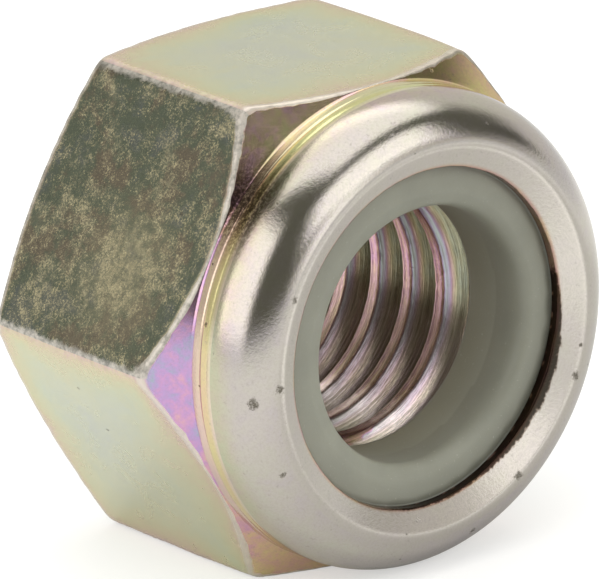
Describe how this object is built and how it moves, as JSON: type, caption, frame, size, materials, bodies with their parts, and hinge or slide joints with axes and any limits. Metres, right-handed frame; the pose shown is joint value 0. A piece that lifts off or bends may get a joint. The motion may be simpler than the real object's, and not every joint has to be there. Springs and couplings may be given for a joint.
{
  "type": "nylon insert lock nut",
  "caption": "Hexagon lock nut in yellow-zinc steel: a domed collar is rolled over a nylon ring, which grips the bolt's thread so that the nut can't shake loose.",
  "frame": {"origin": "on the thread axis, in the plane of the bearing face", "axes": "the nut lies on one of its flats, as in the picture: the thread axis runs along Y, the bearing face looks towards +Y, the crimped collar points towards -Y, and +Z is the normal of the upper flat"},
  "size_m": [0.0114, 0.0075, 0.01],
  "materials": {
    "plated_steel": "yellow-zinc plated, glossy with an iridescent film and fine grain",
    "nylon": "satin, grey-green"
  },
  "bodies": {
    "root": {"nut_body": "plated_steel", "nylon_insert": "nylon"}
  },
  "joints": []
}
